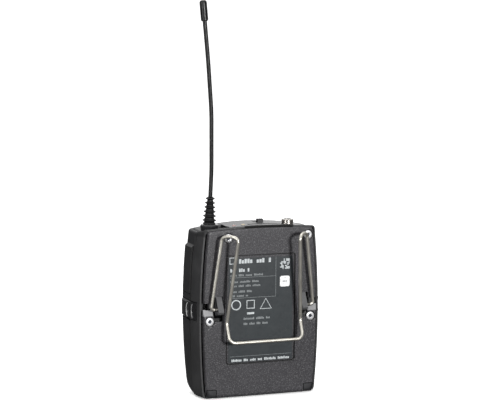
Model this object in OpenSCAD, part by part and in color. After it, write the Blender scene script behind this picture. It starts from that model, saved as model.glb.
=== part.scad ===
// Wireless bodypack transmitter with a flexible whip antenna and a wire belt clip.
// +Z is up along the antenna. +Y is the back, with the rating label and the belt clip.
// -Y is the front, with the display and the battery cover. The origin is the centre of the base.

/* [Housing] */
// Width of the housing at its widest height
body_w = 64.2; // [64:0.1:64.4]
// Height of the housing without switch, jack and antenna
body_h = 82; // [82:0.5:84]
// Depth of the housing without the belt clip
body_d = 24; // [24:0.1:24.6]
// Height at which the sides of the chassis are widest
widest_z = 38; // [37:1:39]
// Radius of the barrel curve of the sides of the chassis
barrel_r = 400; // [390:10:450]
// Radius of the domed top plate, seen from the back
dome_r = 145; // [135:5:170]
// Radius of the round lower front edge
toe_r = 11.5; // [11:0.5:11.5]
// Radius of the upright front edges
edge_r = 4; // [3:0.5:4]
// Wall thickness of the moulded shells
wall = 1.6; // [1.4:0.1:1.7]
// Thickness of the metal rear cover
cover_t = 1.2; // [1:0.1:1.3]

/* [Back] */
// Half width of the recess for the rating label
label_hw = 17.5; // [15:0.5:18]
// Lowest point of the label recess
label_z0 = 16.1; // [14:0.5:20]
// Highest point of the label recess
label_z1 = 68.6; // [60:0.5:70]
// Depth of the label recess
label_depth = 0.5; // [0.3:0.1:0.6]
// Diameter of the screw heads
screw_d = 4.1; // [3.6:0.1:4.4]

/* [Belt clip] */
// Diameter of the clip wire
wire_d = 1.6; // [1.4:0.1:1.8]
// Height of the pivot of the clip
clip_z = 43.5; // [43:0.1:44]
// Distance of the clip pivot from the middle of the housing
clip_y = 14.1; // [14:0.1:14.4]
// Radial clearance of the wire in its lugs
pivot_gap = 0.05; // [0.03:0.01:0.09]

/* [Antenna] */
// Distance of the antenna from the middle of the housing
ant_x = 22.9; // [22:0.1:23]
// Diameter of the whip
whip_d = 2; // [1.8:0.1:2.4]
// Diameter of the cap on the end of the whip
tip_d = 3.45; // [3:0.05:4]
// Height of the end of the antenna above the base
ant_top = 187.9; // [180:0.1:196]
// Number of ribs on the boot
boot_ribs = 6; // [5:1:6]

/* [Battery compartment] */
// Diameter of a cell
cell_d = 14.2; // [13.5:0.1:14.4]
// Length of a cell with its button
cell_l = 50.2; // [49.2:0.1:50.5]
// Height of the hinge of the battery cover
hinge_z = 5.5; // [5.5:0.1:5.7]
// Distance of that hinge from the middle of the housing, towards the front
hinge_front = 6; // [5.9:0.1:6]
// Upper edge of the battery cover on the front
flap_top = 60.2; // [60:0.1:60.6]
// Upper edge of the battery cover on the sides
wing_top = 49.4; // [49:0.1:49.6]

/* [Sockets and keys] */
// Bore of the microphone jack
jack_bore_d = 3.6; // [3.55:0.01:3.65]
// Outer diameter of the threaded jack barrel
jack_d = 5.9; // [5.6:0.1:6]
// Side travel of the mute switch
mute_travel = 2; // [1.5:0.1:2]

/* [Hidden] */
$fn = 64;
past = 0.3;
gap = 0.2;
half_w = body_w / 2;
front_y = -body_d / 2;
back_y = body_d / 2;
split_y = 2;
ledge_y = back_y - 2;
corner_r = 2.5;
top_r = 1.6;
brow_r = 3;
// The dome flattens towards the back
middle_dome_r = dome_r * 1.45;
back_dome_r = dome_r * 2.8;
hinge_y = -hinge_front;
// Curves of the sides as [half width, radius, widest height]
rear_barrel = [half_w, barrel_r, widest_z];
front_barrel = [half_w + 0.35, 330, 43];
bezel_barrel = front_barrel - [0.9, 0, 0];

// ---- Outline of the housing, seen from the back ----

// How far the barrel-shaped side has fallen away from its widest point at height z
function side_fall(z, barrel) = barrel[1] - sqrt(pow(barrel[1], 2) - pow(z - barrel[2], 2));
// Half width of the outline at height z, moved in by side_in
function half_at(z, side_in, barrel) = barrel[0] - side_in - side_fall(z, barrel);
// Height of the domed top at distance x from the middle
function dome_z(x, top_in, dome = dome_r) = body_h - top_in - dome + sqrt(dome * dome - x * x);
// Right half of the outline, from the bottom to the top
function half_outline(side_in, bottom_in, top_in, barrel, dome) =
    let (foot_z = bottom_in + corner_r,
         foot_x = half_at(foot_z, side_in, barrel) - corner_r,
         head_x = half_at(body_h - brow_r, side_in, barrel) - top_r,
         head_z = dome_z(head_x, top_in, dome) - top_r)
    concat(
        [for (a = [-90:22.5:0]) [foot_x + corner_r * cos(a), foot_z + corner_r * sin(a)]],
        [for (i = [1:7]) let (z = foot_z + (head_z - foot_z) * i / 8) [half_at(z, side_in, barrel), z]],
        [for (a = [0:20:80]) [head_x + top_r * cos(a), head_z + top_r * sin(a)]],
        [for (i = [1:3]) let (x = head_x * (1 - i / 4)) [x, dome_z(x, top_in, dome)]]);
// Whole outline, closed at the top middle
function outline(side_in, bottom_in, top_in, barrel = rear_barrel, dome = dome_r) =
    let (right = half_outline(side_in, bottom_in, top_in, barrel, dome), n = len(right))
    concat(right, [[0, dome_z(0, top_in, dome)]], [for (i = [n - 1:-1:0]) [-right[i].x, right[i].y]]);

// A flat slice of the housing between two depths
module slice(y0, y1, points) {
    translate([0, y1, 0])
        rotate([90, 0, 0])
            linear_extrude(y1 - y0)
                polygon(points);
}
// One closed solid through rings of points that all have the same count
module loft(rings) {
    n = len(rings[0]);
    last = len(rings) - 1;
    polyhedron(
        points = [for (ring = rings) each ring],
        faces = concat(
            [[for (j = [0:n - 1]) j]],
            [for (i = [0:last - 1], j = [0:n - 1])
                [i * n + j, (i + 1) * n + j, i * n + (j + 1) % n]],
            [for (i = [0:last - 1], j = [0:n - 1])
                [(i + 1) * n + j, (i + 1) * n + (j + 1) % n, i * n + (j + 1) % n]],
            [[for (j = [n - 1:-1:0]) last * n + j]]));
}
// The skin through a list of levels, each [y, side_in, bottom_in, top_in, radius of the dome]
module skin(levels, barrel = rear_barrel) {
    loft([for (i = [len(levels) - 1:-1:0]) let (v = levels[i])
        [for (p = outline(v[1], v[2], v[3], barrel, v[4])) [p.x, v[0], p.y]]]);
}
// Levels of the front half, moved in by t
function front_levels(t, rear) =
    let (f = front_y + t, r = edge_r - t / 2)
    concat(
        [for (a = [0, 22.5, 45, 67.5, 90])
            let (y = f + r * (1 - cos(a)))
            [y, t + r * (1 - sin(a)), toe_z(y, t), t + brow(y - f), dome_r]],
        [for (y = [-6.5, -5, -2.5, 0, rear]) [y, t, toe_z(y, t), t, dome_r]]);
// Height of the round lower front edge at depth y
function toe_z(y, t) = toe_r - sqrt(max(0, pow(toe_r - t, 2) - pow(min(0, y - front_y - toe_r), 2)));
// How far the upper front edge has fallen at distance s behind the front
function brow(s) = brow_r - sqrt(brow_r * brow_r - pow(max(0, brow_r - s), 2));

module front_half(t, rear = split_y, barrel = front_barrel) {
    skin(front_levels(t, rear), barrel);
}
module middle_half(t, y0, y1) {
    skin([[y0, t, t, t, dome_r], [6, t + 0.6, t, t, middle_dome_r], [y1, t + 2, t, t + 0.1, back_dome_r]]);
}
// Levels of the rear cover as [y, side_in, bottom_in, top_in]
cover_levels = [[ledge_y, 3.4, 0, 1.05], [back_y - 1, 3.45, 0.27, 1.05], [back_y - 0.45, 3.65, 0.75, 1.1],
    [back_y - 0.12, 3.95, 1.35, 1.2], [back_y, 4.4, 2, 1.4]];
module cover_half(t) {
    skin([for (v = cover_levels) [v[0], t + v[1], t + v[2], t + v[3], back_dome_r]]);
}

// ---- Small tools ----

module block(x0, x1, y0, y1, z0, z1) {
    translate([x0, y0, z0])
        cube([x1 - x0, y1 - y0, z1 - z0]);
}
module x_rod(x0, x1, y, z, r) {
    translate([x0, y, z])
        rotate([0, 90, 0])
            cylinder(h = x1 - x0, r = r);
}
module y_rod(x, z, y0, y1, r) {
    translate([x, y1, z])
        rotate([90, 0, 0])
            cylinder(h = y1 - y0, r = r);
}
// A side profile given as [y, z] points, drawn from x0 to x1
module side_profile(x0, x1, points) {
    translate([x0, 0, 0])
        rotate([90, 0, 90])
            linear_extrude(x1 - x0)
                polygon(points);
}
// Points of a rectangle from z0 to z1 with half width hw and round corners
function round_box(hw, z0, z1, r) =
    [for (side = [0:3], a = [0:30:90])
        [(side == 0 || side == 3 ? hw - r : r - hw) + r * cos(a + side * 90),
         (side < 2 ? z1 - r : z0 + r) + r * sin(a + side * 90)]];
module both_sides() {
    children();
    mirror([1, 0, 0])
        children();
}
function unit(v) = v / norm(v);
// Places its children with their own z along z_dir and their own x along x_dir
module aligned(p, x_dir, z_dir) {
    y_dir = cross(z_dir, x_dir);
    multmatrix([[x_dir.x, y_dir.x, z_dir.x, p.x], [x_dir.y, y_dir.y, z_dir.y, p.y],
                [x_dir.z, y_dir.z, z_dir.z, p.z], [0, 0, 0, 1]])
        children();
}
// Points of the bend of radius r at corner b, between the legs from a and to c
function bend(a, b, c, r, steps) =
    let (from = unit(a - b),
         to = unit(c - b),
         half_angle = acos(from * to) / 2,
         centre = b + unit(from + to) * r / sin(half_angle),
         out = b + from * r / tan(half_angle) - centre,
         across = cross(unit(cross(out, b + to * r / tan(half_angle) - centre)), out),
         turn = 180 - 2 * half_angle)
    [for (i = [0:steps]) centre + out * cos(turn * i / steps) + across * sin(turn * i / steps)];
// A route through corners, bent with the radii given for the inner ones
function route(corners, radii, steps) =
    let (last = len(corners) - 1)
    concat([corners[0]],
        [for (i = [1:last - 1]) each bend(corners[i - 1], corners[i], corners[i + 1], radii[i - 1], steps)],
        [corners[last]]);
function heading(path, i) = unit(path[min(i + 1, len(path) - 1)] - path[max(i - 1, 0)]);
// A direction across the path at each point, carried along without twist
function aside(path) =
    [for (i = 0, v = unit(cross(heading(path, 0), [0.3, 1, 0.2])); i < len(path);
          i = i + 1, v = i < len(path) ? unit(v - heading(path, i) * (v * heading(path, i))) : v) v];
// A round wire along a path
module wire(path, r, sides = 12) {
    sideways = aside(path);
    loft([for (i = [0:len(path) - 1])
        let (u = sideways[i], w = cross(heading(path, i), u))
        [for (j = [0:sides - 1]) let (a = 360 * j / sides) path[i] + r * (u * cos(a) + w * sin(a))]]);
}

// ---- Places shared by several pieces ----

// Rear screws as [x, z]
screws = [[25.5, 37.4], [-25.5, 37.4], [16.4, 76.8], [-23.9, 76.9]];
screw_sink = 1.15;
boss_y = 9.9;
shank_r = 1;
// Corner and border groove of the label recess
label_r = 1.2;
groove_w = 0.6;
groove_depth = 0.35;
// Groove round the sides and the top of the rear cover, as insets of the outline
seam_in = [2.75, 3.7];
seam_top = [0.45, 1.1];
// Pocket for the clip lug
pocket_x0 = 19.2;
pocket_x1 = 24;
pocket_z0 = 37.3;
pocket_z1 = 49.2;
pocket_floor = 9.6;
notch_x1 = 33;
notch_z0 = 43.1;
notch_z1 = 46.3;
ramp_z = 40;
lug_x0 = 19.8;
lug_x1 = 22.6;
wire_r = wire_d / 2;
// Corner cut-outs for the charging contacts
contact_x0 = 22;
contact_x1 = 27;
contact_z1 = 4.7;
// Top plate with the controls
plate_hw = 28.2;
plate_y0 = -7.4;
ant_y = 2.5;
ant_floor = 79.6;
ant_flat_x = 14.5;
jack_x = -16.6;
jack_y = 3;
jack_z0 = 70;
jack_z1 = 83.55;
mute_x = -4.6;
mute_y = -3;
mute_hw = 1.4;
mute_hd = 1.3;
mute_top = 83.3;
led_r = 1.05;
led_x = [11.2, 6.6];
led_y = 4.6;
ir_x0 = -12.5;
ir_x1 = 4.2;
ir_y0 = 3.5;
ir_y1 = 5.3;
// Side catches
catch_z0 = 37.6;
catch_z1 = 46.1;
catch_y0 = -8.7;
catch_y1 = 7.7;
catch_proud = 0.9;
notch_r = 31.8;
// Battery tray
tray_out = 28;
tray_t = 1.2;
tray_x1 = 3.5;
tray_floor = 6.9;
tray_y0 = -7.2;
cell_r = cell_d / 2;
cell_y = -2.4;
cell_z = 8.2;
cell_x = [-19.6, -5.2];
rear_wall_y = 5;
wing_r = split_y - hinge_y;
swing_r = hinge_z - toe_z(hinge_y, 0) + 0.15;
knuckle_r = 1.8;
ear_r = 1.5;
pin_r = 1;
ear_x0 = 22.3;
ear_x1 = 24.6;
knuckle_x0 = 24.9;
knuckle_x1 = 27.2;
// Key column
key_x = 15.8;
power_z = 20;
rocker_z = 35;
set_z = 50;
key_r = 3.6;
key_gap = 0.25;
panel_y0 = -7.6;
panel_y1 = -6.4;
key_front = -8.7;
rocker_hw = 3.6;
rocker_hl = 8.5;
pivot_y = -5.85;
pivot_r = 0.45;
// Display
window_hw = 17;
window_z0 = 63.4;
window_z1 = 76;
window_t = 1.2;

// ---- Housing ----

module rear_cover() {
    color("dimgray")
        difference() {
            cover_half(0);
            difference() {
                intersection() {
                    cover_half(cover_t);
                    block(-half_w, half_w, 0, back_y - cover_t, 0, body_h);
                }
                for (s = screws)
                    y_rod(s.x, s.y, 0, back_y, 3.6);
            }
            slice(back_y - label_depth, back_y + 1, round_box(label_hw, label_z0, label_z1, label_r));
            difference() {
                slice(back_y - label_depth - groove_depth, back_y,
                    round_box(label_hw, label_z0, label_z1, label_r));
                slice(ledge_y, back_y + 1,
                    round_box(label_hw - groove_w, label_z0 + groove_w, label_z1 - groove_w,
                        label_r - groove_w / 2));
            }
            for (s = screws) {
                y_rod(s.x, s.y, back_y - screw_sink, back_y + 1, screw_d / 2 + 0.35);
                y_rod(s.x, s.y, 0, back_y + 1, shank_r + 0.2);
            }
            both_sides() {
                block(pocket_x0, pocket_x1, 0, back_y + 1, pocket_z0, pocket_z1);
                side_profile(pocket_x1 - 0.4, notch_x1,
                    [[back_y + 1, notch_z1], [0, notch_z1], [0, notch_z0],
                     [back_y - 1.3, notch_z0], [back_y, ramp_z], [back_y + 1, ramp_z - 1.5]]);
                block(contact_x0, contact_x1, 0, back_y + 1, -1, contact_z1);
            }
        }
}

// Wedge-shaped lug that holds one end of the clip wire
module clip_lug() {
    difference() {
        side_profile(lug_x0, lug_x1, [[8, 38.5], [pocket_floor, 38.5], [clip_y - 0.9, clip_z - 2.1],
            [clip_y + 1.3, clip_z - 2.1], [clip_y + 1.9, clip_z - 1.1], [back_y - 0.1, 49.1], [8, 49.1]]);
        x_rod(lug_x0 - 1, lug_x1 + 1, clip_y, clip_z, wire_r + pivot_gap);
    }
}
// The top plate behind the bezel, with its openings
module top_plate() {
    difference() {
        intersection() {
            slice(plate_y0, split_y + 1, outline(0, 0, 0));
            block(-plate_hw, plate_hw, plate_y0, split_y + 1, body_h - 7, body_h + 1);
        }
        slice(plate_y0 - 1, split_y + 2, outline(-1, 0, wall));
    }
}
module battery_tray() {
    tray_x0 = -tray_out;
    block(tray_x0, tray_x1, rear_wall_y, rear_wall_y + tray_t, tray_floor - tray_t, flap_top);
    for (x = [tray_x0, tray_x1 - tray_t])
        block(x, x + tray_t, tray_y0, rear_wall_y, tray_floor - tray_t, flap_top);
    for (z = [tray_floor - tray_t, flap_top - tray_t])
        block(tray_x0, tray_x1, tray_y0, rear_wall_y, z, z + tray_t);
    block(tray_x1 - tray_t, tray_out, tray_y0, rear_wall_y, tray_floor - tray_t, tray_floor);
    block(tray_out - tray_t, tray_out, -6.2, rear_wall_y + tray_t, tray_floor - tray_t, flap_top);
}
module chassis() {
    color([0.16, 0.16, 0.17])
        difference() {
            union() {
                difference() {
                    middle_half(0, split_y + gap, ledge_y);
                    middle_half(wall, 0, ledge_y + 1);
                }
                slice(rear_wall_y, rear_wall_y + tray_t, outline(1.2, 1, 1));
                top_plate();
                block(ant_flat_x - 1, 26, -4, ledge_y - 1, ant_floor - 1.2, ant_floor);
                battery_tray();
                side_profile(-tray_out, tray_out, [for (y = [split_y + 1:-1:-6]) [y, toe_z(y, 0)],
                    for (y = [-6:1:split_y + 1]) [y, toe_z(y, wall)]]);
                for (s = screws)
                    y_rod(s.x, s.y, rear_wall_y, boss_y, 2.7);
                both_sides() {
                    block(pocket_x0 - 0.6, pocket_x1 + 1.4, rear_wall_y, pocket_floor, pocket_z0 - 0.8,
                        pocket_z1 + 0.6);
                    clip_lug();
                    side_profile(ear_x0, ear_x1, [[hinge_y - ear_r, hinge_z], [hinge_y - ear_r, tray_floor],
                        [hinge_y + ear_r, tray_floor], [hinge_y + ear_r, hinge_z]]);
                    x_rod(ear_x0, ear_x1, hinge_y, hinge_z, ear_r);
                }
            }
            both_sides() {
                // Clear space for the lower edge and the wings of the battery cover
                x_rod(knuckle_x0 - gap, knuckle_x1 + gap, hinge_y, hinge_z, knuckle_r + 0.35);
                block(knuckle_x0 - gap, knuckle_x1 + gap, tray_y0 - 1, hinge_y, hinge_z, tray_floor + 0.1);
                difference() {
                    x_rod(-1, tray_out + 1, hinge_y, hinge_z, swing_r);
                    block(-2, half_w, hinge_y - 8, hinge_y + 8, tray_floor - tray_t, 20);
                    x_rod(ear_x0, ear_x1, hinge_y, hinge_z, ear_r);
                }
                x_rod(tray_out + 0.2, half_w + 1, hinge_y, hinge_z, wing_r + gap);
                // Side openings of the catches
                block(tray_out + 0.2, half_w + 2, 0, catch_y1 + 0.3, catch_z0 - 0.3, catch_z1 + 0.3);
                x_rod(ear_x0 - 1, ear_x1 + 1, hinge_y, hinge_z, pin_r);
                block(contact_x0 + 0.1, contact_x1 - 0.1, 7.4, back_y, -1, contact_z1 - 0.1);
                // Shallow seams on the upper sides
                block(29.3, half_w, 4.5, 4.8, 73.4, body_h);
            }
            for (s = screws)
                y_rod(s.x, s.y, rear_wall_y - 1, back_y, shank_r + 0.03);
            // Groove between the side walls and the rear cover
            difference() {
                slice(ledge_y - 1, ledge_y + 1,
                    outline(seam_in[0], 0, seam_top[0], rear_barrel, back_dome_r));
                slice(ledge_y - 2, ledge_y + 2,
                    outline(seam_in[1], -1, seam_top[1], rear_barrel, back_dome_r));
            }
            // Openings in the top
            side_profile(ant_flat_x, 28,
                [[-3.4, ant_floor], [-3.4, body_h + 1], [8.6, body_h + 1], [8.6, ant_floor]]);
            translate([ant_x, ant_y, body_h - 10])
                cylinder(h = 12, r = 3);
            translate([jack_x, jack_y, jack_z0 - 1])
                cylinder(h = 20, r = jack_d / 2 + 0.05);
            block(mute_x - mute_hw - gap, mute_x + mute_hw + mute_travel + gap, mute_y - mute_hd - gap,
                mute_y + mute_hd + gap, body_h - 8, body_h + 1);
            for (x = led_x)
                translate([x, led_y, body_h - 6])
                    cylinder(h = 10, r = led_r + 0.05);
            block(ir_x0, ir_x1, ir_y0 - 0.5, ir_y1, body_h - 6, body_h + 1);
        }
}

// Raised panel on the side of the bezel, seen from the back
panel_z0 = 49.8;
panel_z1 = 71.6;
panel_proud = 0.25;
panel_step = 1.3;
side_panel = concat(
    [for (i = [0:6]) let (z = panel_z0 + (panel_z1 - panel_z0) * i / 6)
        [half_at(z, -panel_proud, front_barrel), z]],
    [[half_at(panel_z1 + panel_step, 0.2, bezel_barrel), panel_z1 + panel_step],
     [half_at(panel_z1 + panel_step, 1, bezel_barrel), panel_z1 + panel_step],
     [half_at(panel_z0, 1, bezel_barrel), panel_z0]]);
// The upper front shell round the display, with a raised panel on each side
module front_bezel() {
    color([0.17, 0.17, 0.18])
        difference() {
            union() {
                front_half(0, split_y, bezel_barrel);
                both_sides()
                    slice(front_y + edge_r, split_y - gap, side_panel);
            }
            front_half(wall + 0.1, split_y + 1, bezel_barrel);
            block(-half_w - 1, half_w + 1, front_y - 1, split_y + 1, -1, wing_top + gap);
            block(-half_w - 1, half_w + 1, front_y - 1, -7, -1, flap_top + gap);
            block(-plate_hw - 0.1, plate_hw + 0.1, plate_y0 - 0.1, split_y + 1, 70, body_h + 2);
            block(-window_hw - 0.1, window_hw + 0.1, front_y - 1, front_y + window_t,
                window_z0 - 0.1, window_z1 + 0.1);
            block(-window_hw + 1.5, window_hw - 1.5, front_y - 1, 0, window_z0 + 1.5, window_z1 - 1.5);
        }
}

// The hinged cover: the lower front and its two side wings
module battery_cover() {
    color([0.15, 0.15, 0.16])
        difference() {
            union() {
                difference() {
                    front_half(0);
                    front_half(wall, split_y + 1);
                    // The middle of the lower edge ends at the hinge; the wings go on to the parting line
                    block(-tray_out - 0.3, tray_out + 0.3, hinge_y, split_y + 1, -1, 20);
                }
                both_sides() {
                    x_rod(knuckle_x0, knuckle_x1, hinge_y, hinge_z, knuckle_r);
                    side_profile(knuckle_x0, knuckle_x1, [[hinge_y - 0.4, hinge_z - knuckle_r + 0.05],
                        [hinge_y - 1.4, hinge_z + 1.1], [-9.8, hinge_z + 1.1], [-8.4, 4]]);
                }
            }
            block(-half_w - 1, half_w + 1, front_y - 1, split_y + 1, flap_top, body_h + 2);
            block(-half_w - 1, half_w + 1, -7.2, split_y + 1, wing_top, body_h + 2);
            both_sides() {
                x_rod(knuckle_x0 - 1, knuckle_x1 + 0.5, hinge_y, hinge_z, pin_r + 0.05);
                // The lower rear corner of the wing follows its own swing
                difference() {
                    block(tray_out - 1, half_w + 2, hinge_y, split_y + 1, -1, hinge_z);
                    x_rod(tray_out - 2, half_w + 3, hinge_y, hinge_z, wing_r);
                }
                // Opening for the catch
                difference() {
                    block(tray_out - 1, half_w + 2, catch_y0 - 0.3, split_y + 1, 30, catch_z1 + 0.5);
                    x_rod(tray_out - 2, half_w + 3, hinge_y, hinge_z, notch_r);
                }
            }
        }
}
module hinge_pins() {
    color("silver")
        both_sides()
            x_rod(ear_x0, knuckle_x1, hinge_y, hinge_z, pin_r);
}

// ---- Display ----

module display_window() {
    color([0.05, 0.05, 0.06])
        block(-window_hw, window_hw, front_y, front_y + window_t, window_z0, window_z1);
}
module display_gasket() {
    color([0.1, 0.1, 0.1])
        difference() {
            block(-window_hw + 2, window_hw - 2, front_y + wall + 0.2, front_y + wall + 0.9,
                window_z0 + 1, window_z1 - 1);
            block(-window_hw + 3, window_hw - 3, front_y, 0, window_z0 + 2, window_z1 - 2);
        }
}
module lcd_module() {
    color([0.62, 0.45, 0.2])
        block(-window_hw + 1.6, window_hw - 1.6, front_y + wall + 1, front_y + wall + 3,
            window_z0 + 0.6, window_z1 - 0.8);
}

// ---- Keys under the battery cover ----

module key_panel() {
    color([0.13, 0.13, 0.14])
        difference() {
            block(tray_x1 + 0.1, tray_out - tray_t - 0.1, panel_y0, panel_y1,
                tray_floor + 2.5, flap_top - 0.3);
            for (z = [power_z, set_z])
                y_rod(key_x, z, panel_y0 - 1, panel_y1 + 1, key_r + key_gap);
            block(key_x - rocker_hw - key_gap, key_x + rocker_hw + key_gap, panel_y0 - 1, panel_y1 + 1,
                rocker_z - rocker_hl - 0.4, rocker_z + rocker_hl + 0.4);
        }
    // Ears for the pivot of the rocker
    color([0.13, 0.13, 0.14])
        for (side = [-1, 1])
            difference() {
                block(key_x + side * (rocker_hw + 0.7) - 0.35, key_x + side * (rocker_hw + 0.7) + 0.35,
                    panel_y1 - 0.1, pivot_y + 0.8, rocker_z - 1, rocker_z + 1);
                x_rod(key_x - 6, key_x + 6, pivot_y, rocker_z, pivot_r + 0.05);
            }
}
module round_key(z) {
    y_rod(key_x, z, key_front, panel_y1 + 0.2, key_r);
    y_rod(key_x, z, panel_y1 + 0.2, panel_y1 + 0.7, key_r + 0.8);
}
module power_key() {
    color([0.45, 0.08, 0.07])
        round_key(power_z);
}
module set_key() {
    color([0.3, 0.3, 0.31])
        round_key(set_z);
}
module menu_rocker() {
    color([0.3, 0.3, 0.31])
        difference() {
            block(key_x - rocker_hw, key_x + rocker_hw, key_front, -6,
                rocker_z - rocker_hl, rocker_z + rocker_hl);
            x_rod(key_x - 10, key_x + 10, key_front - 11.4, rocker_z, 12);
        }
    color([0.3, 0.3, 0.31])
        x_rod(key_x - rocker_hw - 1, key_x + rocker_hw + 1, pivot_y, rocker_z, pivot_r);
}
module key_board() {
    color([0.05, 0.25, 0.12])
        block(tray_x1 + 0.4, tray_out - tray_t - 0.3, -3.2, -2.2, 12, flap_top - 1.6);
}
module tact_switches() {
    color("silver")
        for (z = [power_z, rocker_z - 6, rocker_z + 6, set_z]) {
            block(key_x - 2, key_x + 2, -4.6, -3.2, z - 2, z + 2);
            y_rod(key_x, z, -5.1, -4.5, 1);
        }
}

// ---- Electronics and cells ----

module main_board() {
    color([0.05, 0.28, 0.14])
        difference() {
            block(-26, 26, rear_wall_y + tray_t + 0.6, rear_wall_y + tray_t + 1.6, 8, 74);
            both_sides() {
                block(pocket_x0 - 0.8, 30, 5, 10, pocket_z0 - 3.2, pocket_z1 + 0.9);
            }
            for (s = screws)
                y_rod(s.x, s.y, 0, back_y, 3.1);
        }
}
module rf_shield() {
    color("silver")
        block(-16, 8, rear_wall_y + tray_t + 1.6, 9.6, 50, 72);
}
module battery_contacts() {
    color("gold")
        for (x = cell_x)
            block(x - 4, x + 4, cell_y - 4, cell_y + 4, cell_z + cell_l, flap_top - tray_t);
}
// Short conical springs under the cells
module battery_springs() {
    color("gold")
        for (x = cell_x)
            for (i = [0:2])
                translate([x, cell_y, tray_floor + 0.3 + i * 0.35])
                    rotate_extrude()
                        translate([2.9 - i * 0.35, 0])
                            circle(r = 0.3, $fn = 16);
}
module aa_cell(x) {
    translate([x, cell_y, cell_z]) {
        cylinder(h = cell_l - 1.2, r = cell_r);
        translate([0, 0, cell_l - 1.2])
            cylinder(h = 1.2, r = 2.7);
    }
}
module aa_cell_left() {
    color([0.2, 0.35, 0.55])
        aa_cell(cell_x[0]);
}
module aa_cell_right() {
    color([0.2, 0.35, 0.55])
        aa_cell(cell_x[1]);
}

// ---- Catches ----

module catch() {
    pad_x = half_w + catch_proud;
    inner = 1.35;
    difference() {
        translate([0, 0, catch_z0])
            linear_extrude(catch_z1 - catch_z0)
                polygon([[pad_x - 0.5, catch_y0], [pad_x, catch_y0 + 0.8], [pad_x, -2],
                    [pad_x - 0.5, split_y], [pad_x - 1.2, 5], [pad_x - 2.1, catch_y1],
                    [pad_x - inner - 1.6, catch_y1], [pad_x - inner - 0.8, 5],
                    [pad_x - inner, split_y], [pad_x - inner, catch_y0]]);
        for (z = [catch_z0, catch_z1])
            translate([pad_x + 0.15, 0, z])
                rotate([90, 45, 0])
                    cube([1.3, 1.3, 40], center = true);
    }
    // Crescent-shaped grips
    for (y = [-0.2, 4.4])
        translate([pad_x - (y > split_y ? 1.4 : 0.4), y, (catch_z0 + catch_z1) / 2])
            rotate([90, 0, 90])
                difference() {
                    translate([3.2, 0, 0])
                        cylinder(h = 0.65, r = 4.2);
                    translate([4.1, 0, -1])
                        cylinder(h = 3, r = 4.3);
                    translate([0.9, -6, -1])
                        cube([8, 12, 3]);
                }
}
module catch_left() {
    color([0.1, 0.1, 0.1])
        catch();
}
module catch_right() {
    color([0.1, 0.1, 0.1])
        mirror([1, 0, 0])
            catch();
}
// Springs of the catches, at the length they have when pressed
module catch_springs() {
    color("silver")
        both_sides()
            for (i = [0:3])
                translate([tray_out + 0.2 + i * 0.5, -3, (catch_z0 + catch_z1) / 2])
                    rotate([0, 90, 0])
                        rotate_extrude()
                            translate([1.5, 0])
                                circle(r = 0.2, $fn = 16);
}

// ---- Top controls ----

module mute_knob() {
    color([0.07, 0.07, 0.07])
        difference() {
            block(mute_x - mute_hw, mute_x + mute_hw, mute_y - mute_hd, mute_y + mute_hd,
                body_h - 4, mute_top);
            for (x = [mute_x - 0.75, mute_x, mute_x + 0.75])
                block(x - 0.15, x + 0.15, mute_y - 3, mute_y + 3, mute_top - 0.4, mute_top + 1);
        }
}
module mute_switch_body() {
    color([0.3, 0.3, 0.3])
        block(mute_x - 5, mute_x + 6, mute_y - 2.4, mute_y + 2.4, body_h - 8.5, body_h - 4.1);
}
module jack_barrel() {
    thread_pitch = 0.5;
    color("silver")
        translate([jack_x, jack_y, 0])
            difference() {
                union() {
                    translate([0, 0, jack_z0])
                        cylinder(h = jack_z1 - jack_z0 - 0.3, r = jack_d / 2 - 0.2);
                    translate([0, 0, jack_z0])
                        cylinder(h = 6, r = jack_d / 2);
                    for (z = [jack_z1 - 3.1:thread_pitch:jack_z1 - 0.4])
                        translate([0, 0, z])
                            cylinder(h = thread_pitch / 2, r = jack_d / 2);
                    translate([0, 0, jack_z1 - 0.31])
                        cylinder(h = 0.31, r1 = jack_d / 2 - 0.15, r2 = jack_d / 2 - 0.45);
                }
                translate([0, 0, jack_z0 - 1])
                    cylinder(h = 30, r = jack_bore_d / 2);
            }
}
module jack_body() {
    color([0.1, 0.1, 0.1])
        difference() {
            block(jack_x - 4, jack_x + 4, jack_y - 4.4, jack_y + 1.9, jack_z0 - 6, jack_z0 + 4);
            translate([jack_x, jack_y, jack_z0])
                cylinder(h = 20, r = jack_d / 2 + 0.02);
        }
}
module lens(x, tint) {
    top = dome_z(x, 0);
    color(tint)
        translate([x, led_y, 0]) {
            translate([0, 0, top - 5])
                cylinder(h = 5.1, r = led_r);
            translate([0, 0, top + 0.1])
                intersection() {
                    translate([0, 0, -1.2])
                        sphere(r = 1.6);
                    cylinder(h = 2, r = led_r);
                }
        }
}
module status_led() {
    lens(led_x[0], [0.7, 0.1, 0.08]);
}
module level_led() {
    lens(led_x[1], [0.8, 0.6, 0.1]);
}
module ir_window() {
    color([0.06, 0.02, 0.03])
        intersection() {
            slice(ir_y0 + 0.05, ir_y1 - 0.05, outline(0, 0, 0.35));
            block(ir_x0 + 0.05, ir_x1 - 0.05, 0, 10, body_h - 4, body_h);
        }
}

// ---- Antenna, leaning and bent as it stands ----

boot_z0 = 82.6;
boot_z1 = 95.6;
lean = [-0.04, 0, 1];
whip_kinks = [[21.86, ant_y, 108], [21.98, ant_y, 135.5], [23.72, ant_y, 159.5]];
whip_bends = [150, 150, 400];
tip_lean = [0.0951, 0, 1];
tip_up = unit(tip_lean);
whip_end = whip_kinks[2] + tip_lean * (ant_top - whip_kinks[2].z);
tip_l = 9.9;
tip_round = 1.3;
boot_low_r = 3.3;
boot_high_r = 2.2;

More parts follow.
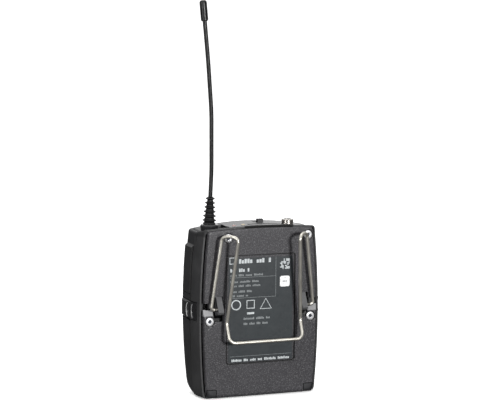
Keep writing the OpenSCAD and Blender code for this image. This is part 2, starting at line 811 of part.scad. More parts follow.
module antenna_base() {
    color([0.09, 0.09, 0.09])
        translate([ant_x, ant_y, 0])
            rotate_extrude()
                polygon([[0, 73], [2.9, 73], [2.9, ant_floor + 0.02], [4, ant_floor + 0.02], [4, 80.6],
                    [4.25, 81], [4.25, 82.1], [3.9, boot_z0], [0, boot_z0]]);
}
module antenna_boot() {
    height = boot_z1 - boot_z0;
    pitch = 2.06;
    first = 1.9;
    rib_half = 0.55;
    neck = 0.75;
    function boot_r(z) = boot_low_r + (boot_high_r - boot_low_r) * (z - first) / (height - first - neck);
    ribs = [for (i = [0:boot_ribs - 1]) let (z = first + i * pitch, r = boot_r(z))
        for (p = [[-1.45, r - 0.85], [-1, r - 0.8], [-0.45, r - 0.12], [0, r], [0.45, r - 0.12],
                  [1, r - 0.8]])
            [p.y, z + p.x * rib_half]];
    color([0.08, 0.08, 0.08])
        aligned([ant_x, ant_y, boot_z0], unit(cross([0, 1, 0], unit(lean))), unit(lean))
            rotate_extrude()
                polygon(concat([[0, 0.13], [3.1, 0.13], [2.9, 0.6]], ribs,
                    [[1.6, height - 0.1], [1.3, height], [0, height]]));
}
module antenna_whip() {
    color([0.12, 0.12, 0.12])
        wire(route(concat([[ant_x, ant_y, boot_z0] + lean * (boot_z1 - boot_z0)], whip_kinks,
            [whip_end - tip_up * (tip_l - 0.1)]), whip_bends, 6), whip_d / 2, 20);
}
module antenna_tip() {
    r = tip_d / 2;
    color([0.1, 0.1, 0.1])
        aligned(whip_end - tip_up * tip_l, unit(cross([0, 1, 0], tip_up)), tip_up)
            rotate_extrude()
                polygon(concat([[0, 0.1], [r - 0.45, 0.1], [r, 0.55]],
                    [for (a = [0:15:90])
                        [r - tip_round + tip_round * cos(a), tip_l - tip_round + tip_round * sin(a)]],
                    [[0, tip_l]]));
}

// ---- Back ----

module charge_contact() {
    color([0.3, 0.3, 0.31])
        intersection() {
            cover_half(0.15);
            block(contact_x0 + 0.35, contact_x1 - 0.35, ledge_y - 2.4, back_y, -1, contact_z1 - 0.35);
        }
    color([0.3, 0.3, 0.31])
        block(contact_x0 + 0.35, contact_x1 - 0.35, 7.6, ledge_y + 0.2, 0.15, contact_z1 - 0.35);
}
module charge_contact_left() {
    charge_contact();
}
module charge_contact_right() {
    mirror([1, 0, 0])
        charge_contact();
}
module rear_screws() {
    socket_r = 1.05;
    color("silver")
        for (s = screws)
            translate([s.x, back_y - screw_sink, s.y])
                rotate([-90, 0, 0])
                    difference() {
                        union() {
                            translate([0, 0, -5.5])
                                cylinder(h = 5.6, r = shank_r);
                            rotate_extrude()
                                polygon([[0, 0], [screw_d / 2, 0], [screw_d / 2, 0.5],
                                    [screw_d / 2 - 0.12, 0.75], [screw_d / 2 - 0.45, 0.95], [0, 1]]);
                        }
                        translate([0, 0, 0.3])
                            for (a = [0, 60, 120])
                                rotate([0, 0, a])
                                    translate([-socket_r, -0.3, 0])
                                        cube([2 * socket_r, 0.6, 2]);
                        translate([0, 0, 0.3])
                            cylinder(h = 2, r = socket_r - 0.3);
                    }
}
module rating_label() {
    margin = 1.3;
    color([0.2, 0.23, 0.25])
        slice(back_y - label_depth, back_y - label_depth + 0.15,
            round_box(label_hw - margin, label_z0 + margin - 0.4, label_z1 - margin - 0.3, 0.8));
}

pin_end_x = 22.8;
// Corners of the right half of the clip, from its pivot end to the bar
clip_half = [[pin_end_x, clip_y, clip_z], [25.8, clip_y, clip_z], [21.3, 16.5, 78], [18.6, 19.4, 78.9],
    [15.35, 23, 78], [18.6, 16.1, 37], [18.4, 20, 28.2]];
clip_bends = [1.4, 2.2, 8, 2.2, 4, 3];

module belt_clip() {
    n = len(clip_half) - 1;
    other_half = [for (i = [n:-1:0]) [-clip_half[i].x, clip_half[i].y, clip_half[i].z]];
    other_bends = [for (i = [n - 1:-1:0]) clip_bends[i]];
    color([0.78, 0.76, 0.7])
        wire(route(concat(clip_half, other_half), concat(clip_bends, other_bends), 6), wire_r, 14);
}
// The straight ends of the same wire, which turn in the lugs
module clip_pivots() {
    color([0.78, 0.76, 0.7])
        both_sides()
            x_rod(lug_x0 + 0.3, pin_end_x, clip_y, clip_z, wire_r);
}

rear_cover();
chassis();
front_bezel();
battery_cover();
hinge_pins();
display_window();
display_gasket();
lcd_module();
key_panel();
power_key();
set_key();
menu_rocker();
key_board();
tact_switches();
main_board();
rf_shield();
battery_contacts();
battery_springs();
aa_cell_left();
aa_cell_right();
catch_left();
catch_right();
catch_springs();
mute_knob();
mute_switch_body();
jack_barrel();
jack_body();
status_led();
level_led();
ir_window();
antenna_base();
antenna_boot();
antenna_whip();
antenna_tip();
charge_contact_left();
charge_contact_right();
rear_screws();
rating_label();
belt_clip();
clip_pivots();
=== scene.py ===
import math
import random

import bmesh
import bpy
from mathutils import Matrix, Vector


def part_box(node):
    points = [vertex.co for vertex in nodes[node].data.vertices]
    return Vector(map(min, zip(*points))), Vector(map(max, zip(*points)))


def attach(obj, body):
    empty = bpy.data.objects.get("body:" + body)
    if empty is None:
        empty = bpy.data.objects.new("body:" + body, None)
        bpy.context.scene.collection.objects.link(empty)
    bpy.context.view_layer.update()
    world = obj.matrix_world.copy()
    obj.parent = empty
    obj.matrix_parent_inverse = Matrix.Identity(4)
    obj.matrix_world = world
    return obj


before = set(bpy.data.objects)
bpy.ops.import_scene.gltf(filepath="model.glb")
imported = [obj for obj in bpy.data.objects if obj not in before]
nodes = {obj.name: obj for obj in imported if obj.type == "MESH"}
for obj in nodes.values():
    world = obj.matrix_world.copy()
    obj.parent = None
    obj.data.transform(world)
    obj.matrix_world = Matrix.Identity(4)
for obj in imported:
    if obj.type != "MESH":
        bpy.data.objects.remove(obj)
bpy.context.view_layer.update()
MM = 0.001

# ---- Camera, floor and light ----

VIEW_AZIMUTH = math.radians(159.689)
VIEW_ELEVATION = math.radians(7.322)
VIEW_ROLL = math.radians(0.405)
VIEW_TARGET = Vector((1.488, 0, 92.954)) * MM
VIEW_DISTANCE = 863.82 * MM
LENS = 130.34
SENSOR = 36
FLOOR_HALF = 30
FLOOR_GAP = 0.2 * MM


def add_camera():
    back = Vector((
        math.sin(VIEW_AZIMUTH) * math.cos(VIEW_ELEVATION),
        -math.cos(VIEW_AZIMUTH) * math.cos(VIEW_ELEVATION),
        math.sin(VIEW_ELEVATION)))
    side = Vector((0, 0, 1)).cross(back).normalized()
    up = back.cross(side)
    rolled_side = side * math.cos(VIEW_ROLL) + up * math.sin(VIEW_ROLL)
    rolled_up = up * math.cos(VIEW_ROLL) - side * math.sin(VIEW_ROLL)
    data = bpy.data.cameras.new("camera")
    data.lens = LENS
    data.sensor_width = SENSOR
    data.clip_end = 100
    camera = bpy.data.objects.new("camera", data)
    place = Matrix((rolled_side, rolled_up, back)).transposed().to_4x4()
    place.translation = VIEW_TARGET + back * VIEW_DISTANCE
    camera.matrix_world = place
    bpy.context.scene.collection.objects.link(camera)
    bpy.context.scene.camera = camera


def add_area_light(name, location, aim, size, power):
    data = bpy.data.lights.new(name, "AREA")
    data.energy = power
    data.size = size
    lamp = bpy.data.objects.new(name, data)
    lamp.location = location
    lamp.rotation_euler = (Vector(aim) - Vector(location)).to_track_quat("-Z", "Y").to_euler()
    bpy.context.scene.collection.objects.link(lamp)


def add_floor():
    """A white floor just under the base, left out of reflections and bounced light"""
    mesh = bpy.data.meshes.new("floor")
    half = FLOOR_HALF
    mesh.from_pydata([(-half, -half, 0), (half, -half, 0), (half, half, 0), (-half, half, 0)], [],
                     [(0, 1, 2, 3)])
    floor = bpy.data.objects.new("floor", mesh)
    floor.location.z = -FLOOR_GAP
    bpy.context.scene.collection.objects.link(floor)
    shader = Shader("floor_white", (0.9, 0.9, 0.9), 0.9)
    shader.shader.inputs["Emission Color"].default_value = (1, 1, 1, 1)
    shader.shader.inputs["Emission Strength"].default_value = 0.35
    mesh.materials.append(shader.material)
    floor.visible_glossy = False
    floor.visible_diffuse = False


# ---- Materials ----

# Painted shade and painted light at fixed places on the object, from deep painted shadow to painted
# highlight
DEEP_SHADE = (0.001, 0.001, 0.001)
SHADE = (0.002, 0.002, 0.002)
LUG_PAINTED_LIGHT = (0.075, 0.075, 0.078)
RAMP_PAINTED_LIGHT = (0.26, 0.26, 0.265)
GRIP_PAINTED_HIGHLIGHT = (0.4, 0.4, 0.4)


def side_span(side, near, far):
    """The x range between two distances from the middle, on the side +1 or -1"""
    return sorted((side * near, side * far))


class Shader:
    """A principled material with its colour, roughness and bump driven by procedural nodes."""

    def __init__(self, name, colour, roughness, metallic=0.0, coat=0.0, coat_roughness=0.1):
        self.material = bpy.data.materials.new(name)
        self.material.use_nodes = True
        self.tree = self.material.node_tree
        self.shader = self.tree.nodes["Principled BSDF"]
        self.shader.inputs["Base Color"].default_value = (*colour, 1)
        self.shader.inputs["Roughness"].default_value = roughness
        self.shader.inputs["Metallic"].default_value = metallic
        self.shader.inputs["Coat Weight"].default_value = coat
        self.shader.inputs["Coat Roughness"].default_value = coat_roughness
        self.place = self.tree.nodes.new("ShaderNodeTexCoord").outputs["Object"]
        self.bumps = []

    def node(self, kind, links=(), **settings):
        made = self.tree.nodes.new("ShaderNode" + kind)
        for key, value in settings.items():
            setattr(made, key, value)
        for socket, source in dict(links).items():
            if isinstance(source, bpy.types.NodeSocket):
                self.tree.links.new(source, made.inputs[socket])
            else:
                made.inputs[socket].default_value = source
        return made

    def stretched(self, scale):
        """The place in the object with each axis scaled"""
        return self.node("Mapping", {"Vector": self.place, "Scale": scale}).outputs["Vector"]

    def noise(self, size, detail=2, rough=0.5, stretch=None):
        """Noise whose features are about size metres across"""
        place = self.stretched(stretch) if stretch else self.place
        return self.node("TexNoise", {"Vector": place, "Scale": 1 / size, "Detail": detail,
                                      "Roughness": rough}).outputs["Fac"]

    def spread(self, value, low, high, to_low=0.0, to_high=1.0):
        """Stretches low..high to to_low..to_high, and holds it there outside"""
        return self.node("MapRange", {"Value": value, "From Min": low, "From Max": high,
                                      "To Min": to_low, "To Max": to_high}).outputs["Result"]

    def inside(self, low, high, edge=0.05):
        """1 inside the box between two corners, in millimetres; None leaves a side open"""
        axes = self.node("SeparateXYZ", {"Vector": self.place})
        mask = None
        for axis, a, b in zip("XYZ", low, high):
            for limit, sign in ((a, 1), (b, -1)):
                if limit is None:
                    continue
                outside, within = (limit - sign * edge) * MM, (limit + sign * edge) * MM
                step = self.spread(axes.outputs[axis], outside, within)
                if mask is not None:
                    step = self.node("Math", {0: mask, 1: step}, operation="MULTIPLY").outputs["Value"]
                mask = step
        return mask

    def colours(self, fac, first, second):
        """Blends from the first to the second colour as fac goes from 0 to 1"""
        mix = self.node("Mix", data_type="RGBA")
        self.tree.links.new(fac, mix.inputs["Factor"])
        for socket, value in ((mix.inputs[6], first), (mix.inputs[7], second)):
            if isinstance(value, bpy.types.NodeSocket):
                self.tree.links.new(value, socket)
            else:
                socket.default_value = (*value, 1)
        return mix.outputs[2]

    def colour(self, source):
        self.tree.links.new(source, self.shader.inputs["Base Color"])
        return self

    def roughness(self, source, low, high):
        """Roughness between low and high as the noise varies"""
        self.tree.links.new(self.spread(source, 0.3, 0.7, low, high), self.shader.inputs["Roughness"])
        return self

    def recolour(self, mask, colour):
        """Another colour where the mask is 1"""
        current = self.shader.inputs["Base Color"].links[0].from_socket
        return self.colour(self.colours(mask, current, colour))

    def reroughen(self, mask, value):
        """Another roughness where the mask is 1"""
        socket = self.shader.inputs["Roughness"]
        mix = self.node("Mix", {"Factor": mask, "A": socket.links[0].from_socket, "B": value})
        self.tree.links.new(mix.outputs["Result"], socket)
        return self

    def bump(self, source, depth, strength=1.0):
        """Raises the surface by up to depth metres"""
        links = {"Height": source, "Distance": depth, "Strength": strength}
        if self.bumps:
            links["Normal"] = self.bumps[-1]
        made = self.node("Bump", links).outputs["Normal"]
        self.bumps.append(made)
        self.tree.links.new(made, self.shader.inputs["Normal"])
        return self


def moulded_plastic(name, colour, roughness=0.42):
    """Faintly cloudy plastic with a fine grain"""
    shader = Shader(name, colour, roughness)
    cloud = shader.noise(0.012, 3)
    lighter = tuple(c * 1.35 + 0.002 for c in colour)
    shader.colour(shader.colours(shader.spread(cloud, 0.35, 0.65), colour, lighter))
    shader.roughness(shader.noise(0.003, 4), roughness - 0.05, roughness + 0.07)
    shader.bump(shader.noise(0.00035, 2), 0.000012)
    return shader


def chassis_plastic():
    """Moulded plastic with painted shade in the clip pockets, on the top shoulders, at the antenna's step
    and along the top seam, and painted light on the lugs
    """
    shader = moulded_plastic("chassis_plastic", (0.024, 0.024, 0.025), 0.45)
    for side in (-1, 1):
        x0, x1 = side_span(side, 19, 24.4)
        # Painted shadow in the deep clip pockets
        for pocket_top_y, pocket_top_z in ((9.9, 49.6), (11.9, 40.4)):
            shader.recolour(shader.inside((x0, 8, 36), (x1, pocket_top_y, pocket_top_z)), DEEP_SHADE)
        # Painted light on the lug below the clip's pin
        shader.recolour(shader.inside((x0, 10, 40.5), (x1, None, 50)), LUG_PAINTED_LIGHT)
        # Painted shade on the top shoulder, which is also made rougher
        x0, x1 = side_span(side, 27, 34)
        shoulder = shader.inside((x0, None, 77.5), (x1, None, None), 0.5)
        shader.recolour(shoulder, (0.008, 0.008, 0.009))
        shader.reroughen(shoulder, 0.75)
    step_x = 14.5
    # Painted shadow on the wall of the antenna's step
    shader.recolour(shader.inside((step_x - 0.15, -3, 79), (step_x + 0.1, 8.7, None)), SHADE)
    ledge_y = 8
    # Painted shadow on the band behind the top plate, which is also made rougher
    ledge = shader.inside((-17, ledge_y, 79), (7.5, None, None))
    shader.recolour(ledge, DEEP_SHADE)
    shader.reroughen(ledge, 0.9)
    top = shader.inside((-26, None, 79.9), (step_x, ledge_y, None))
    return shader.reroughen(top, 0.37)


def shell_plastic():
    """The front shell, with painted shade where its rear edge meets the chassis"""
    shader = moulded_plastic("housing_plastic", (0.014, 0.014, 0.015))
    # Painted shade along the front shell's rear edge, which is also made rougher
    seam = shader.inside((None, 1.6, None), (None, None, None))
    shader.recolour(seam, DEEP_SHADE)
    return shader.reroughen(seam, 0.8)


def catch_plastic(name):
    """Glossy black, with painted highlights on the two crescent grips"""
    shader = glossy(name, (0.01, 0.01, 0.011), 0.22, 0.3)
    low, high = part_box(name)
    side = 1 if high.x > 0 else -1
    outer = max(abs(low.x), abs(high.x)) / MM
    # Painted highlights on the two crescent grips
    for reach, y0, y1 in ((0.15, -1.3, 1.2), (1.05, 3.3, 6.2)):
        x0, x1 = side_span(side, outer - reach, outer + 1)
        shader.recolour(shader.inside((x0, y0, None), (x1, y1, None)), GRIP_PAINTED_HIGHLIGHT)
    return shader


def screw_steel():
    """Bright zinc with painted shade in its socket"""
    shader = bright_metal("screw_steel", (0.85, 0.85, 0.86), 0.35)
    shader.shader.inputs["Metallic"].default_value = 0.55
    # Painted shade in the screw's socket
    socket = shader.inside((None, None, None), (None, 11.3, None))
    return shader.recolour(socket, (0.02, 0.024, 0.035))


def display_film():
    """Dark gloss window with the unlit display showing through its middle"""
    shader = glossy("dark_window", (0.003, 0.003, 0.004), 0.05)
    low, high = (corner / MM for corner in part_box("display_window"))
    margin_x, margin_z = 3, 1.8
    view = shader.inside((low.x + margin_x, None, low.z + margin_z),
                         (high.x - margin_x, None, high.z - margin_z))
    return shader.recolour(view, (0.045, 0.047, 0.036))


def ir_plastic():
    """Dark red filter plastic with little shine"""
    shader = moulded_plastic("ir_dark_red", (0.008, 0.002, 0.003), 0.5)
    shader.shader.inputs["Specular IOR Level"].default_value = 0.08
    return shader


def cover_paint():
    """Speckled, finely lumpy paint, with painted shade in the recesses and painted light on the ramps below
    the clip
    """
    shader = Shader("cover_paint", (0.03, 0.029, 0.032), 0.4)
    shader.shader.inputs["Specular IOR Level"].default_value = 0.35
    speck = shader.noise(0.00055, 2, 0.6)
    lump = shader.noise(0.0012, 2)
    cloud = shader.spread(shader.noise(0.02, 3), 0.3, 0.7)
    dark = shader.colours(cloud, (0.026, 0.025, 0.028), (0.036, 0.035, 0.039))
    shader.colour(shader.colours(shader.spread(speck, 0.5, 0.68), dark, (0.1, 0.098, 0.103)))
    for side in (-1, 1):
        # Painted light on the ramp below the clip
        x0, x1 = side_span(side, 23.7, 33)
        shader.recolour(shader.inside((x0, 10.4, 40.1), (x1, 11.9, 43.3)), RAMP_PAINTED_LIGHT)
        # Painted shadow in the recess below the lug
        x0, x1 = side_span(side, 19, 23.4)
        shader.recolour(shader.inside((x0, 9, 36.3), (x1, 11.6, 41.5)), SHADE)
    # Painted shade in the groove round the label
    label_groove = shader.inside((-17.6, 10.9, 16), (17.6, 11.45, 68.7))
    shader.recolour(label_groove, SHADE)
    shader.roughness(speck, 0.48, 0.3)
    shader.bump(lump, 0.00006, 0.8)
    shader.bump(speck, 0.00005, 0.9)
    return shader


def wire_metal():
    """Satin wire, with painted shadow where it enters the lugs"""
    shader = Shader("clip_wire", (0.68, 0.65, 0.58), 0.36, metallic=0.85)
    cloud = shader.spread(shader.noise(0.006, 3), 0.3, 0.7)
    shader.colour(shader.colours(cloud, (0.47, 0.448, 0.4), (0.57, 0.55, 0.495)))
    for side in (-1, 1):
        # Painted shadow on the wire where it enters the lugs
        x0, x1 = side_span(side, 20, 24.2)
        shader.recolour(shader.inside((x0, 12, 42), (x1, 16, 45)), (0.1, 0.095, 0.085))
    shader.roughness(shader.noise(0.004, 2), 0.32, 0.42)
    shader.bump(shader.noise(0.003, 2), 0.000004)
    return shader


def bright_metal(name, colour, roughness, brushed=(1, 1, 1)):
    """Polished metal with fine streaks, drawn out along an axis by brushed"""
    shader = Shader(name, colour, roughness, metallic=1.0)
    streak = shader.noise(0.0006, 3, stretch=brushed)
    darker = tuple(c * 0.78 for c in colour)
    shader.colour(shader.colours(shader.spread(streak, 0.35, 0.65), darker, colour))
    shader.roughness(streak, roughness - 0.05, roughness + 0.1)
    shader.bump(streak, 0.000005)
    return shader


def rubber(name, colour=(0.018, 0.018, 0.02), roughness=0.45):
    """Matt rubber with patches of dust"""
    shader = Shader(name, colour, roughness)
    shader.shader.inputs["Specular IOR Level"].default_value = 0.3
    dust = shader.spread(shader.noise(0.005, 5, 0.7), 0.45, 0.75, 0.0, 0.5)
    shader.colour(shader.colours(dust, colour, tuple(c * 2.1 + 0.006 for c in colour)))
    shader.roughness(shader.noise(0.0015, 3), roughness - 0.06, roughness + 0.1)
    shader.bump(shader.noise(0.0006, 2), 0.00001)
    return shader


def label_film():
    """Dark satin film"""
    shader = Shader("label_film", (0.022, 0.028, 0.031), 0.42)
    cloud = shader.spread(shader.noise(0.008, 4), 0.3, 0.7)
    shader.colour(shader.colours(cloud, (0.013, 0.017, 0.02), (0.019, 0.024, 0.027)))
    shader.roughness(shader.noise(0.0008, 3), 0.34, 0.46)
    shader.bump(shader.noise(0.00045, 2), 0.000012)
    return shader


def print_ink(name, colour):
    """Printed ink that is thin in small patches"""
    shader = Shader(name, colour, 0.55)
    worn = tuple(c * 0.6 for c in colour)
    shader.colour(shader.colours(shader.spread(shader.noise(0.0007, 3, 0.7), 0.3, 0.55), worn, colour))
    return shader


def circuit_board():
    """Green board with a faint grid of lighter tracks in patches"""
    shader = Shader("circuit_board", (0.01, 0.09, 0.035), 0.35, coat=0.4)
    tracks = shader.node("TexBrick", {"Vector": shader.place, "Scale": 260.0, "Mortar Size": 0.05,
                                      "Color1": (0.008, 0.075, 0.03, 1), "Color2": (0.012, 0.1, 0.04, 1),
                                      "Mortar": (0.02, 0.17, 0.07, 1)}).outputs["Color"]
    patches = shader.spread(shader.noise(0.003, 3), 0.45, 0.6)
    shader.colour(shader.colours(patches, (0.01, 0.09, 0.035), tracks))
    shader.bump(shader.noise(0.0006, 2), 0.00001)
    return shader


def cell_sleeve():
    """Printed sleeve with a lighter band near the top"""
    shader = Shader("cell_sleeve", (0.02, 0.06, 0.16), 0.25, coat=0.6, coat_roughness=0.08)
    height = shader.node("SeparateXYZ", {"Vector": shader.place}).outputs["Z"]
    band = shader.spread(height, 46.0 * MM, 46.1 * MM)
    shader.colour(shader.colours(band, (0.02, 0.05, 0.15), (0.45, 0.3, 0.12)))
    shader.tree.links.new(shader.spread(height, 57.1 * MM, 57.15 * MM), shader.shader.inputs["Metallic"])
    shader.bump(shader.noise(0.002, 2), 0.00001)
    return shader


def glossy(name, colour, roughness, coat=0.5):
    """Smooth coated plastic"""
    shader = Shader(name, colour, roughness, coat=coat, coat_roughness=0.05)
    shader.roughness(shader.noise(0.004, 4), roughness - 0.02, roughness + 0.05)
    cloud = shader.spread(shader.noise(0.01, 3), 0.3, 0.7)
    shader.colour(shader.colours(cloud, colour, tuple(c * 1.3 + 0.001 for c in colour)))
    return shader


housing = shell_plastic()
controls = glossy("control_black", (0.01, 0.01, 0.011), 0.22, 0.3)
clip_metal = wire_metal()
steel = bright_metal("steel", (0.62, 0.62, 0.63), 0.28)
brass = bright_metal("contact_brass", (0.78, 0.6, 0.3), 0.25)
nickel = bright_metal("nickel", (0.45, 0.43, 0.4), 0.22, (1, 1, 6))
board = circuit_board()
cells = cell_sleeve()
contact_plate = moulded_plastic("contact_dark", (0.016, 0.016, 0.018), 0.45)
whip_rubber = rubber("antenna_rubber", (0.0045, 0.0045, 0.005), 0.33)
KEY_GREY = (0.07, 0.07, 0.075)
finish_of = {
    "rear_cover": cover_paint(),
    "chassis": chassis_plastic(),
    "front_bezel": housing,
    "battery_cover": housing,
    "hinge_pins": steel,
    "display_window": display_film(),
    "display_gasket": rubber("gasket_rubber"),
    "lcd_module": glossy("lcd_amber", (0.25, 0.16, 0.05), 0.3, 0.1),
    "key_panel": moulded_plastic("key_panel_plastic", (0.012, 0.012, 0.013), 0.5),
    "power_key": rubber("key_red", (0.3, 0.015, 0.012), 0.5),
    "set_key": rubber("key_grey", KEY_GREY, 0.5),
    "menu_rocker": rubber("rocker_grey", KEY_GREY, 0.5),
    "key_board": board,
    "tact_switches": steel,
    "main_board": board,
    "rf_shield": bright_metal("shield_steel", (0.6, 0.6, 0.6), 0.35),
    "battery_contacts": brass,
    "battery_springs": steel,
    "aa_cell_left": cells,
    "aa_cell_right": cells,
    "catch_left": catch_plastic("catch_left"),
    "catch_right": catch_plastic("catch_right"),
    "catch_springs": steel,
    "mute_knob": moulded_plastic("knob_plastic", (0.01, 0.01, 0.011), 0.55),
    "mute_switch_body": controls,
    "jack_barrel": nickel,
    "jack_body": controls,
    "status_led": glossy("led_red", (0.2, 0.11, 0.1), 0.15, 0.3),
    "level_led": glossy("led_yellow", (0.24, 0.2, 0.13), 0.15, 0.3),
    "ir_window": ir_plastic(),
    "antenna_base": glossy("antenna_plastic", (0.012, 0.012, 0.013), 0.2, 0.3),
    "antenna_boot": whip_rubber,
    "antenna_whip": whip_rubber,
    "antenna_tip": whip_rubber,
    "charge_contact_left": contact_plate,
    "charge_contact_right": contact_plate,
    "rear_screws": screw_steel(),
    "rating_label": label_film(),
    "belt_clip": clip_metal,
    "clip_pivots": clip_metal}


# ---- CAD nodes: softened edges and smooth shading ----

# Width of the rounding on sharp edges, in millimetres
BEVELS = {
    "rear_cover": 0.12, "chassis": 0.12, "front_bezel": 0.15, "battery_cover": 0.15, "display_window": 0.15,
    "key_panel": 0.1, "power_key": 0.35, "set_key": 0.35, "menu_rocker": 0.35, "catch_left": 0.12,
    "catch_right": 0.12, "mute_knob": 0.15, "mute_switch_body": 0.1, "charge_contact_left": 0.1,
    "charge_contact_right": 0.1, "rear_screws": 0.06, "rf_shield": 0.2, "main_board": 0.1,
    "key_board": 0.1, "ir_window": 0.08, "aa_cell_left": 0.3, "aa_cell_right": 0.3, "jack_barrel": 0.04,
    "tact_switches": 0.1}
BEVEL_ANGLE = math.radians(38)
SMOOTH_ANGLE = math.radians(32)


def soften(obj, bevel_mm):
    """Adds modifiers that weld the faces of a CAD solid and round its sharp edges a little"""
    weld = obj.modifiers.new("weld", "WELD")
    weld.merge_threshold = 0.002 * MM
    if bevel_mm:
        bevel = obj.modifiers.new("bevel", "BEVEL")
        bevel.width = bevel_mm * MM
        bevel.segments = 2
        bevel.limit_method = "ANGLE"
        bevel.angle_limit = BEVEL_ANGLE
        bevel.use_clamp_overlap = True
    split = obj.modifiers.new("edges", "EDGE_SPLIT")
    split.split_angle = SMOOTH_ANGLE
    split.use_edge_sharp = False
    weighted = obj.modifiers.new("normals", "WEIGHTED_NORMAL")
    weighted.mode = "FACE_AREA"
    weighted.weight = 100


# Vertices and faces stay as they are; the stored normals give way to smooth shading
for name, obj in nodes.items():
    mesh = obj.data
    if "custom_normal" in mesh.attributes:
        mesh.attributes.remove(mesh.attributes["custom_normal"])
    mesh.shade_smooth()
    mesh.materials.clear()
    mesh.materials.append(finish_of[name].material)
    soften(obj, BEVELS.get(name, 0))


# ---- Flat marks: plain bars and outlines ----

MARK_THICKNESS = 0.02 * MM


def new_piece(name, bm, shader, body):
    mesh = bpy.data.meshes.new(name)
    bm.to_mesh(mesh)
    bm.free()
    obj = bpy.data.objects.new(name, mesh)
    bpy.context.scene.collection.objects.link(obj)
    mesh.materials.append(shader.material)
    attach(obj, body)
    return obj


def add_bars(bm, bars, y, thickness):
    """Thin boxes, each (x0, x1, z0, z1) in millimetres, from the plane y to the plane y + thickness"""
    for x0, x1, z0, z1 in bars:
        made = bmesh.ops.create_cube(bm, size=1)
        size = Vector(((x1 - x0) * MM, abs(thickness), (z1 - z0) * MM))
        centre = Vector(((x0 + x1) / 2 * MM, y + thickness / 2, (z0 + z1) / 2 * MM))
        for v in made["verts"]:
            v.co = v.co * size + centre


def add_frame(bm, x, z, radius, sides, turn, width, y, thickness):
    """A flat ring with the given number of sides; sizes in millimetres apart from y and thickness"""
    angles = [math.radians(turn) + 2 * math.pi * i / sides for i in range(sides)]
    rings = []
    for depth in (y, y + thickness):
        for r in (radius, radius - width):
            rings.append([bm.verts.new(((x + r * math.cos(a)) * MM, depth, (z + r * math.sin(a)) * MM))
                          for a in angles])
    low_out, low_in, high_out, high_in = rings
    walls = ((low_out, low_in), (low_in, high_in), (high_in, high_out), (high_out, low_out))
    for first, second in walls:
        for i in range(sides):
            j = (i + 1) % sides
            bm.faces.new((first[i], first[j], second[j], second[i]))
    bmesh.ops.recalc_face_normals(bm, faces=bm.faces[:])


def flat_marks(name, bars, y, shader, body, frames=(), thickness=MARK_THICKNESS):
    """One piece of bars (x0, x1, z0, z1) and outlines (x, z, radius, sides, turn, width) on the plane y"""
    bm = bmesh.new()
    add_bars(bm, bars, y, thickness)
    for outline in frames:
        add_frame(bm, *outline, y, thickness)
    return new_piece(name, bm, shader, body)


def row_of_words(rng, x_left, x_right, z, height, letter):
    """Short strokes in groups, from the left edge (high x) to the right edge, seen from the back"""
    stroke = letter * 0.78
    gap = letter * 1.35
    marks = []
    x = x_left
    while x > x_right:
        for _ in range(rng.randint(3, 8)):
            if x - letter < x_right:
                return marks
            tall = height * rng.choice((1, 1, 0.72, 0.72, 0.8))
            marks.append((x - stroke, x, z, z + tall))
            x -= letter
        x -= gap
    return marks


def rows_of_words(rng, rows):
    return [bar for z, left, right, height, letter in rows
            for bar in row_of_words(rng, left, right, z, height, letter)]


# ---- Rating label: rows of strokes, plain shapes, a field of random dots and a white sticker ----

label_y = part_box("rating_label")[1].y
rng = random.Random(7)
bright_ink = print_ink("label_ink", (0.5, 0.53, 0.54))
dim_ink = print_ink("label_ink_thin", (0.2, 0.215, 0.22))
white_ink = print_ink("label_white", (0.86, 0.86, 0.86))

# Rows are (height, left end, right end, letter height, letter width), mm from the middle and the base
bright_rows = [
    (64.5, 11.1, -5.3, 2.1, 1.4), (60.5, 15.4, 5.6, 1.6, 1.0), (17.4, 14.6, -15.0, 1.2, 0.74)]
thin_rows = [
    (58.4, 15.4, -2.6, 1.0, 0.66), (55.3, 15.4, 0.5, 1.0, 0.66), (53.3, 15.4, -0.3, 1.0, 0.66),
    (50.6, 15.4, 3.4, 1.0, 0.66), (48.6, 15.4, 6.2, 0.9, 0.62), (37.4, 8.6, -5.1, 1.1, 0.68),
    (34.9, 8.6, -4.0, 1.1, 0.68)]
rule_lines = [
    (-7.5, 15.6, 57.7, 57.85), (-7.5, 15.6, 47.9, 48.05), (-7.65, -7.5, 47.9, 66.8),
    (-15.7, 15.4, 19.8, 19.95)]
short_bar = (3.3, 6.9, 39.9, 40.9)
# Outlines: a small square, then a ring, a square and a triangle in a row
plain_shapes = [
    (14.2, 65.9, 2.3, 4, 45, 0.5), (12.4, 44.7, 2.5, 24, 0, 0.55), (5.1, 44.7, 2.9, 4, 45, 0.5),
    (-2.6, 43.9, 3.5, 3, 90, 0.5)]
flat_marks("label_print", rows_of_words(rng, bright_rows) + [short_bar], label_y, bright_ink, "housing",
           plain_shapes)
flat_marks("label_fine_print", rows_of_words(rng, thin_rows) + rule_lines, label_y, dim_ink, "housing")

DOT_PITCH = 0.62
DOT_SIDE = 0.93 * DOT_PITCH
DOTS_LEFT, DOTS_FOOT, DOTS_ACROSS = -14.6, 60.9, 8
DOT_SHARE = 0.55
dots = []
for column in range(DOTS_ACROSS):
    for row in range(DOTS_ACROSS):
        if rng.random() < DOT_SHARE:
            x, z = DOTS_LEFT + column * DOT_PITCH, DOTS_FOOT + row * DOT_PITCH
            dots.append((x, x + DOT_SIDE, z, z + DOT_SIDE))
flat_marks("label_code", dots, label_y, bright_ink, "housing")

sticker = [(-14.6, -9.7, 52.8, 57.1), (-14.2, -10.1, 52.4, 52.8), (-14.2, -10.1, 57.1, 57.5)]
sticker_dots = [(x, x + 0.5, 54.6, 55.3) for x in (-13.2, -12.4, -11.6)]
flat_marks("label_patch", sticker, label_y, white_ink, "housing")
flat_marks("label_patch_dots", sticker_dots, label_y + MARK_THICKNESS, dim_ink, "housing")


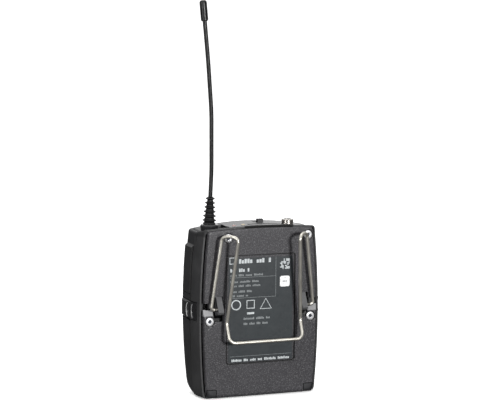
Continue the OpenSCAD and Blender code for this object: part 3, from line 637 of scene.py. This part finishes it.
# ---- Plain symbols on the keys behind the battery cover ----

key_ink = print_ink("key_mark", (0.6, 0.6, 0.6))


def key_face(node):
    """The middle of a key's front face: x and z in millimetres, y in metres"""
    low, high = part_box(node)
    middle = (low + high) / 2 / MM
    return middle.x, low.y, middle.z


x, y, z = key_face("power_key")
flat_marks("power_mark", [(x - 0.2, x + 0.2, z, z + 2)], y, key_ink, "power", [(x, z, 1.7, 28, 0, 0.3)],
           -MARK_THICKNESS)
x, y, z = key_face("set_key")
flat_marks("set_mark", [], y, key_ink, "set", [(x, z, 1.5, 4, 45, 0.3)], -MARK_THICKNESS)


# ---- Studio ----

def add_world():
    """A bright ceiling over a dim room, with a white backdrop low on one side; white to the camera"""
    world = bpy.data.worlds.new("studio")
    bpy.context.scene.world = world
    world.use_nodes = True
    tree = world.node_tree

    def ramp(value, low, high, to_low, to_high):
        made = tree.nodes.new("ShaderNodeMapRange")
        made.inputs["From Min"].default_value = low
        made.inputs["From Max"].default_value = high
        made.inputs["To Min"].default_value = to_low
        made.inputs["To Max"].default_value = to_high
        tree.links.new(value, made.inputs["Value"])
        return made.outputs["Result"]

    def combine(operation, first, second):
        made = tree.nodes.new("ShaderNodeMath")
        made.operation = operation
        tree.links.new(first, made.inputs[0])
        tree.links.new(second, made.inputs[1])
        return made.outputs["Value"]

    axes = tree.nodes.new("ShaderNodeSeparateXYZ")
    tree.links.new(tree.nodes.new("ShaderNodeTexCoord").outputs["Generated"], axes.inputs["Vector"])
    ceiling = ramp(axes.outputs["Z"], 0.15, 0.85, 0.07, 1.3)
    behind = ramp(axes.outputs["Y"], -0.5, -0.8, 0.0, 1.7)
    low_down = ramp(axes.outputs["Z"], 0.3, 0.5, 1.0, 0.0)
    one_side = ramp(axes.outputs["X"], 0.1, -0.15, 0.0, 1.0)
    backdrop = combine("MULTIPLY", combine("MULTIPLY", behind, low_down), one_side)
    room = combine("MAXIMUM", ceiling, backdrop)
    pick = tree.nodes.new("ShaderNodeMix")
    pick.inputs["B"].default_value = 1.0
    tree.links.new(tree.nodes.new("ShaderNodeLightPath").outputs["Is Camera Ray"], pick.inputs["Factor"])
    tree.links.new(room, pick.inputs["A"])
    background = tree.nodes["Background"]
    background.inputs["Color"].default_value = (1, 1, 1, 1)
    tree.links.new(pick.outputs["Result"], background.inputs["Strength"])


add_floor()
add_camera()
add_area_light("key", (-0.1, 1, 0.24), (0, 0, 0.05), 0.12, 9)
add_area_light("side", (1.2, 0.7, 0.25), (0, 0, 0.05), 0.4, 8)
add_area_light("top", (0.0, -0.25, 0.9), (0, 0, 0.07), 0.6, 2.5)
add_world()
bpy.context.scene.view_settings.view_transform = "Standard"
